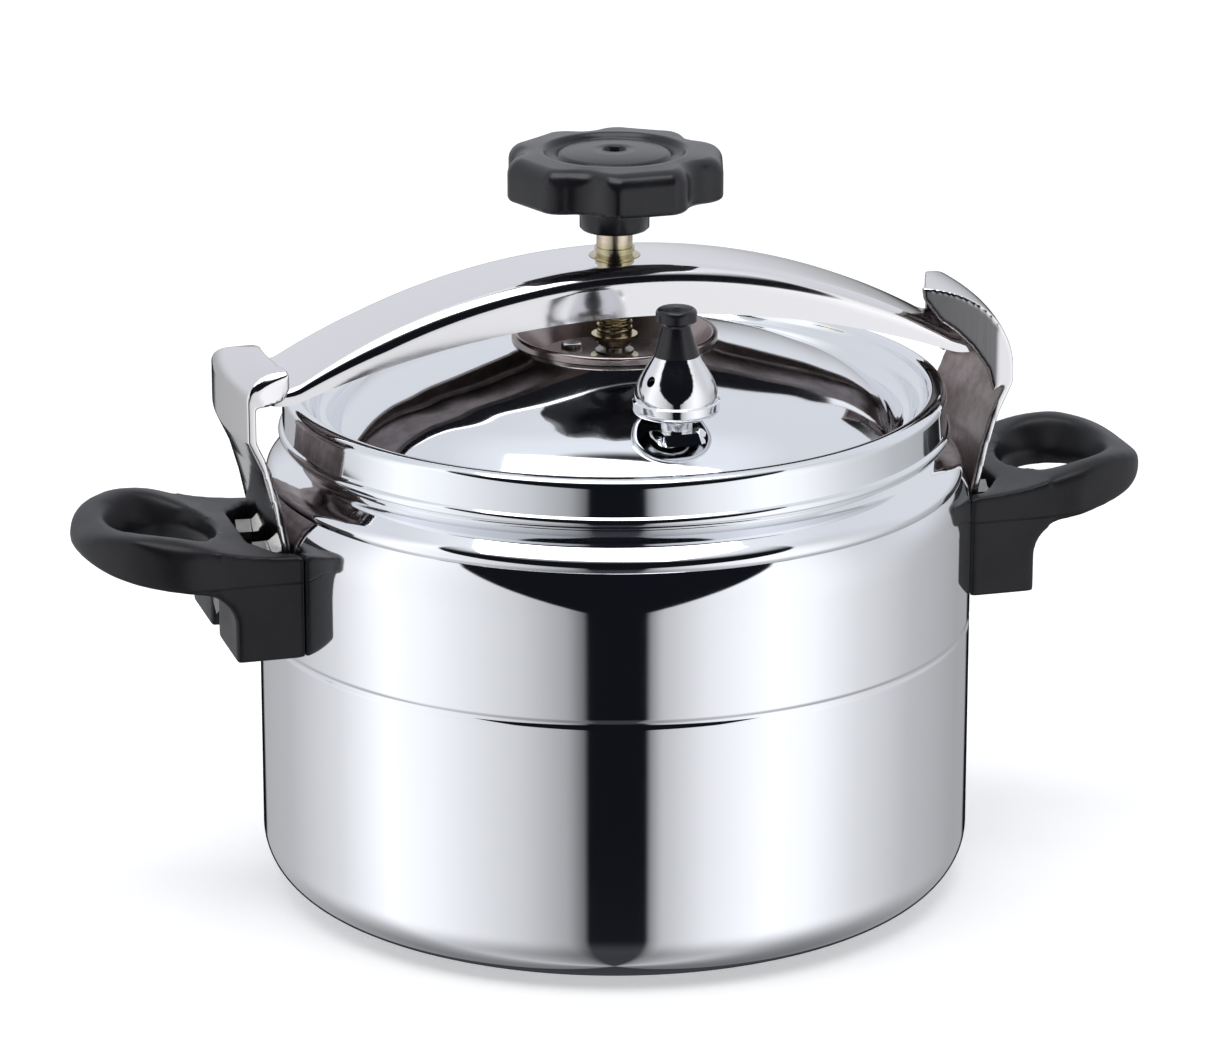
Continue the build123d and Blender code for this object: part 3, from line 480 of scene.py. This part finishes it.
def make_pot():
    """Spun pot with a rounded base corner, a groove, a beaded shoulder and a plain neck."""
    bead = [(116.4, 141.3), (116.9, 143.3), (115.6, 145.6), (112.2, 148.4), (109.2, 150.8), (107.8, 153)]
    outline = [
        (0, 0),
        (60, 0),
        *arc((102, 18), 18, -90, 0, 16),
        (120, 60),
        (120, 89.8),
        (120, 90.3),
        (119.6, 91.0),
        (119.4, 91.7),
        (119.6, 92.4),
        (120, 93.1),
        (120, 93.6),
        *arc((89, 127), 31, 0, 27.5, 14),
        *curve_through(bead, 4),
        (107.6, 162.5),
        (105, 162.5),
        (105, 150.5),
        (110.6, 143.6),
        *arc((87, 125), 30.4, 35, 0, 6),
        *arc((102, 19.9), 15.4, 0, -90, 10),
        (60, 4.5),
        (0, 4.5),
    ]
    finish_piece(lathed(outline), "spun_pot", "pot_body", 50.0)


def make_lid():
    """Pressed lid: hem, skirt, rounded rim, stepped wall, dome, well, and two flat pads for the valves."""
    step = [(104.6, 167.6), (103.2, 166.2), (101.7, 165.4), (100.3, 162.8), (98.8, 161.0), (97.0, 160.4)]
    dome = [(95.5, 160.9), (88, 167.2), (80, 172), (71, 175.6), (62, 178.7), (48, 182.6), (37.5, 185.3)]
    outline = [
        (109, 154.2),
        (111.2, 154.2),
        *arc((110.6, 156.5), 2.0, -70, 70, 8),
        (111.2, 159.4),
        (111.2, 167.3),
        *arc((108.3, 167.6), 2.9, 0, 90, 10),
        *arc((106.9, 168.5), 2.0, 90, 170, 6),
        *curve_through(step, 5),
        *curve_through(dome, 8),
        (35.5, 185.9),
        (34.3, 186.2),
        (33, 186.2),
        (30.2, 176.5),
        (12, 176.5),
        (0, 176.5),
        (0, 174.3),
        (32.2, 174.3),
        (35.8, 183.2),
        *curve_through([(37, 183), (61, 176.3), (78.8, 169.9), (96, 158)], 5),
        (100, 158.4),
        (102, 160.5),
        (104.9, 165.8),
        (106.6, 168.3),
        (109, 168.3),
        (109, 154.2),
    ]
    bm = lathed(outline)
    press_pads(bm)
    finish_piece(bm, "pressed_lid", "lid", 40.0)


def press_pads(bm):
    """Flatten the dome round both valves, with a short blend into the dome."""
    pad_radius = 8.5 * MM
    blend = 3.5 * MM
    pad_z = 175.2 * MM
    lowest_z = 165 * MM
    most_lift = 6.5 * MM
    for vert in bm.verts:
        if vert.co.z < lowest_z:
            continue
        away = min((vert.co.xy - Vector((0, side * VALVE_Y * MM))).length for side in (-1, 1))
        share = max(0.0, min(1.0, (pad_radius + blend - away) / blend))
        lift = pad_z - vert.co.z
        if abs(lift) < most_lift and vert.normal.z >= 0.0:
            vert.co.z += lift * share * share * (3 - 2 * share)


def knob_radius(angle):
    """Distance of the knob's side from its axis in millimetres: flat facets with scooped flutes between."""
    facet = 35.8
    flute_centre = 47.6
    flute_radius = 15.0
    step = 2 * pi / KNOB_LOBES
    turn = (angle + radians(KNOB_TURN) + step / 2) % step - step / 2
    side = facet / cos(turn)
    for centre_turn in (-step / 2, step / 2):
        gap = turn - centre_turn
        inside = flute_radius**2 - (flute_centre * sin(gap)) ** 2
        if inside > 0:
            side = min(side, flute_centre * cos(gap) - inside**0.5)
    return side


def make_knob():
    """Moulded knob: five facets, generous top edge, ring recess, domed middle with a hole, and a hub."""
    columns = 480
    window = range(-8, 9)
    sharp = [knob_radius(2 * pi * column / columns) for column in range(columns)]
    side = []
    for column in range(columns):
        side.append(sum(sharp[(column + shift) % columns] for shift in window) / len(window))
    low, high = 236.0, 250.6
    low_round, high_round = 2.0, 5.6
    under = [(5.0, 224.0), (10.9, 224.0), (11.6, 224.7), (11.7, 235.4), (12.6, 236.0), (20.0, low)]
    low_edge = [radians(15 * step) for step in range(7)]
    high_edge = [radians(9 * step) for step in range(11)]
    rim = [(low_round * (1 - sin(turn)), low + low_round * (1 - cos(turn))) for turn in low_edge]
    rim += [(high_round * (1 - cos(turn)), high - high_round * (1 - sin(turn))) for turn in high_edge]
    recess = [(25.6, 250.8), (24.4, 250.9), (23.6, 250.6), (23.0, 249.4), (22.2, 248.6), (19.6, 248.6)]
    dome = [(18.9, 249.0), (18.3, 249.8), (17.2, 250.1), (13.0, 250.6), (8.0, 250.95), (4.2, 251.0)]
    hole = [(3.8, 250.7), (3.7, 244.0)]
    rows = [[(radius, height)] * columns for radius, height in under]
    rows += [[(wall - depth, height) for wall in side] for depth, height in rim]
    rows += [[(radius, height)] * columns for radius, height in recess + dome + hole]
    finish_piece(ring_mesh(rows), "moulded_knob", "knob", 55.0)


def make_screw():
    """Clamp screw: spindle, rolled thread where the nut runs, smooth shank above it."""
    depth = 0.6
    crest = 6.0
    fade_height = 1.5
    columns = 48
    rows_of_thread = 150
    low, high = 189.6, 213.0
    foot = [(0.4, 179.3), (3.7, 179.3), (3.8, 179.6), (3.8, 184.0), (5.2, 184.0), (5.9, 184.8), (5.95, 189.4)]
    shank = [(6.0, 213.2), (6.0, 235.2), (5.2, 236.0), (0.4, 236.0)]
    rows = [[point] * columns for point in foot]
    for row in range(rows_of_thread + 1):
        height = low + (high - low) * row / rows_of_thread
        fade = max(0.0, min(1.0, (height - low) / fade_height, (high - height) / fade_height))
        ring = []
        for column in range(columns):
            phase = (height / THREAD_PITCH - column / columns) % 1.0
            groove = max(0.0, 1.0 - abs(phase - 0.5) / 0.34)
            ring.append((crest - depth * fade * groove, height))
        rows.append(ring)
    rows += [[point] * columns for point in shank]
    finish_piece(ring_mesh(rows), "threaded_screw", "clamp_screw", 40.0)


def beam_heights(x):
    """Heights of the beam's top and of its flanges' lower edge at a distance x from the middle."""
    away = abs(x)
    top_radius, top_drop, top_arch_end = 219.04, 4.04, 112
    low_radius, low_drop, low_arch_end = 318.8, 120.1, 113
    top = (top_radius**2 - away**2) ** 0.5 - top_drop
    low = (low_radius**2 - away**2) ** 0.5 - low_drop
    if away > top_arch_end:
        past = away - top_arch_end
        top = 184.2 - 0.3797 * past + 0.02976 * past**2
    if away > low_arch_end:
        past = away - low_arch_end
        low = 178.0 - 0.2286 * past + 0.02449 * past**2
    return top, low


def beam_skin(half_width, top, low, edge):
    """Line over the beam from one flange's lower edge to the other's, with rounded edges and a crown."""
    crown = 0.2
    side = [(-half_width, low), (-half_width, top - edge - 0.6)]
    for degrees in range(0, 91, 9):
        turn = radians(degrees)
        side.append((-half_width + edge * (1 - cos(turn)), top - crown - edge * (1 - sin(turn))))
    side.append((-half_width / 3, top - 0.05))
    return [*side, (0.0, top), *[(-y, z) for y, z in side[::-1]]]


def beam_loop(x, solid):
    """Closed cross-section of the beam at x: a channel, or a filled block at its ends."""
    top, low = beam_heights(x)
    corner = 7.0
    past_corner = max(0.0, abs(x) - (BEAM_TIP_X - corner))
    half_width = BEAM_HALF_WIDTH - corner + (corner**2 - past_corner**2) ** 0.5
    edge = min(6.0, (top - low) * 0.55)
    outer = beam_skin(half_width, top, low, edge)
    if solid:
        last = len(outer) - 1
        inner = [(half_width * (1 - 2 * step / last), low) for step in range(last + 1)]
    else:
        inner_edge = max(0.8, min(edge - SHEET, top - low - 4.4))
        inner = beam_skin(half_width - SHEET, top - SHEET, low, inner_edge)[::-1]
    return [(x, y, z) for y, z in outer + inner]


def make_beam():
    """Pressed channel with generous top edges, closed ends and a hole for the nut."""
    hollow_end = 124
    end = [hollow_end, 124.6, 125.4, 126.4, BEAM_TIP_X]
    loops = [beam_loop(-x, True) for x in end[::-1]]
    loops += [beam_loop(x, False) for x in range(-hollow_end, hollow_end + 1, 2)]
    loops += [beam_loop(x, True) for x in end]
    bm = bmesh.new()
    grid = [[bm.verts.new((x * MM, y * MM, z * MM)) for x, y, z in loop] for loop in loops]
    join_loops(bm, grid)
    beam = finish_piece(bm, "pressed_beam", "clamp_beam", 35.0)
    cutter = loose_cylinder(8.6, 205.0, 220.0)
    hole = beam.modifiers.new("nut_hole", "BOOLEAN")
    hole.operation = "DIFFERENCE"
    hole.solver = "EXACT"
    hole.object = cutter
    beam.data = evaluated_mesh(beam)
    beam.modifiers.clear()
    bpy.data.objects.remove(cutter)


def loose_cylinder(radius, low, high):
    """Loose cylinder on the cooker's axis, to cut a hole with."""
    columns = 64
    bm = ring_mesh([[(radius, low)] * columns, [(radius, high)] * columns])
    bmesh.ops.recalc_face_normals(bm, faces=bm.faces)
    mesh = bpy.data.meshes.new("hole_cutter")
    bm.to_mesh(mesh)
    bm.free()
    cutter = bpy.data.objects.new("hole_cutter", mesh)
    bpy.context.collection.objects.link(cutter)
    return cutter


def make_soft_edged_pieces():
    """Handles and hooks, rounded as moulded and pressed."""
    for side in ("left", "right"):
        softened(f"moulded_handle_{side}", f"handle_{side}", 0.8, 10, outer_from=143.0, outer_passes=34)
        softened(f"pressed_hook_{side}", f"hook_{side}", 0.45, 10)


def make_valve_spring():
    """Safety valve's spring, copied from its CAD node onto a mesh of its own."""
    node = "safety_valve_spring"
    spring = place_piece(nodes[node].data.copy(), "coiled_spring", node)
    spring.matrix_world = nodes[node].matrix_world
    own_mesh(spring)


# Floor, light and camera


def make_floor():
    """Plain white floor, left out of the metal's reflections, which show the studio instead."""
    bpy.ops.mesh.primitive_plane_add(size=14.0, location=(0, 0, -0.0005))
    floor = bpy.context.object
    floor.name = "floor"
    material, tree, shader = new_material("floor_paper")
    shader.inputs["Base Color"].default_value = (0.94, 0.94, 0.94, 1.0)
    shader.inputs["Roughness"].default_value = 0.9
    shader.inputs["Specular IOR Level"].default_value = 0.0
    shader.inputs["Emission Color"].default_value = (1.0, 1.0, 1.0, 1.0)
    shader.inputs["Emission Strength"].default_value = 0.3
    floor.data.materials.append(material)
    floor.visible_glossy = False


def make_studio():
    """Studio round the object: two wide softboxes, a dark gap that widens upward, a bright ceiling."""
    world = bpy.data.worlds.new("studio")
    bpy.context.scene.world = world
    world.use_nodes = True
    tree = world.node_tree
    direction = tree.nodes.new("ShaderNodeTexCoord").outputs["Generated"]
    turn = radians(CAMERA_AZIMUTH)
    toward_camera = (sin(turn), -cos(turn), 0.0)
    rightward = (cos(turn), sin(turn), 0.0)

    def along(axis):
        node = tree.nodes.new("ShaderNodeVectorMath")
        node.operation = "DOT_PRODUCT"
        tree.links.new(direction, node.inputs[0])
        node.inputs[1].default_value = axis
        return node.outputs["Value"]

    degrees_per_radian = 180.0 / pi
    turned = math_node(tree, "ARCTAN2", along(rightward), along(toward_camera))
    azimuth = math_node(tree, "MULTIPLY", turned, degrees_per_radian)
    raised_by = math_node(tree, "ARCSINE", along((0.0, 0.0, 1.0)))
    elevation = math_node(tree, "MULTIPLY", raised_by, degrees_per_radian)

    def place(angle):
        return (angle + 180.0) / 360.0

    soft_boxes = grey_ramp(
        tree,
        math_node(tree, "DIVIDE", math_node(tree, "ADD", azimuth, 180.0), 360.0),
        [
            (place(-180), 0.40),
            (place(-130), 0.56),
            (place(-100), 0.84),
            (place(-78), 1.25),
            (place(-62), 1.12),
            (place(-30), 0.72),
            (place(-15), 0.44),
            (place(-9), 0.14),
            (place(1), 0.05),
            (place(10), 0.16),
            (place(15), 0.60),
            (place(30), 0.96),
            (place(52), 1.25),
            (place(66), 1.15),
            (place(85), 0.84),
            (place(110), 0.58),
            (place(145), 0.42),
            (place(180), 0.40),
        ],
    )
    off_centre = math_node(tree, "ABSOLUTE", math_node(tree, "SUBTRACT", azimuth, 0.8))
    above = math_node(tree, "MAXIMUM", math_node(tree, "ADD", elevation, 10.0), 0.0)
    widening = math_node(tree, "MULTIPLY", above, 1.15)
    gap = math_node(tree, "ADD", widening, 8.6)
    gap_soft = math_node(tree, "ADD", gap, 2.2)
    open_side = smooth_step(tree, off_centre, gap, gap_soft)
    ceiling = smooth_step(tree, elevation, 48.0, 66.0)
    zenith = smooth_step(tree, elevation, 71.0, 78.0, 1.0, 0.0)
    edge_on = math_node(
        tree,
        "MULTIPLY",
        smooth_step(tree, math_node(tree, "ABSOLUTE", azimuth), 160.0, 164.0),
        smooth_step(tree, elevation, -4.0, -10.0),
    )
    lit = math_node(tree, "MULTIPLY", math_node(tree, "MAXIMUM", open_side, ceiling), zenith)
    lit = math_node(tree, "MULTIPLY", lit, math_node(tree, "SUBTRACT", 1.0, edge_on))
    low = smooth_step(tree, elevation, -62.0, -24.0, 0.45, 1.0)
    behind = smooth_step(tree, math_node(tree, "ABSOLUTE", azimuth), 75.0, 120.0)
    raised = smooth_step(tree, elevation, -8.0, 14.0)
    bright_back = math_node(tree, "MULTIPLY", behind, raised)
    sides = mix_colour(tree, bright_back, soft_boxes, (0.80, 0.81, 0.84))
    walls = mix_colour(tree, ceiling, sides, (0.95, 0.97, 1.0))
    off_floor = smooth_step(tree, elevation, -60.0, -20.0)
    shade = mix_colour(tree, off_floor, (0.10, 0.105, 0.12), (0.006, 0.007, 0.010))
    tinted = mix_colour(tree, 1.0, walls, (0.965, 0.975, 1.0), "MULTIPLY")
    colour = mix_colour(tree, lit, shade, tinted)
    background = tree.nodes["Background"]
    tree.links.new(colour, background.inputs["Color"])
    tree.links.new(low, background.inputs["Strength"])


def make_key_light():
    """Large soft light overhead, a little to the front."""
    data = bpy.data.lights.new("overhead_softbox", "AREA")
    data.shape = "RECTANGLE"
    data.size = 1.6
    data.size_y = 1.2
    data.energy = 18.0
    light = bpy.data.objects.new("overhead_softbox", data)
    light.location = (-0.2, -0.3, 1.9)
    light.rotation_euler = Vector((-0.2, -0.3, 1.8)).to_track_quat("Z", "Y").to_euler()
    bpy.context.collection.objects.link(light)


def make_camera():
    """Camera at the photograph's angle."""
    data = bpy.data.cameras.new("camera")
    data.lens = LENS
    data.sensor_width = 36.0
    data.shift_x = FRAME_SHIFT
    data.clip_end = 50.0
    camera = bpy.data.objects.new("camera", data)
    turn = radians(CAMERA_AZIMUTH)
    rise = radians(CAMERA_ELEVATION)
    outward = Vector((sin(turn) * cos(rise), -cos(turn) * cos(rise), sin(rise)))
    camera.location = Vector((0, 0, CAMERA_TARGET_Z)) + outward * CAMERA_DISTANCE
    camera.rotation_euler = outward.to_track_quat("Z", "Y").to_euler()
    bpy.context.collection.objects.link(camera)
    bpy.context.scene.camera = camera


dress_cad_nodes()
make_pot()
make_lid()
make_knob()
make_screw()
make_beam()
make_soft_edged_pieces()
make_valve_spring()
make_floor()
make_studio()
make_key_light()
make_camera()
bpy.context.scene.view_settings.view_transform = "Standard"
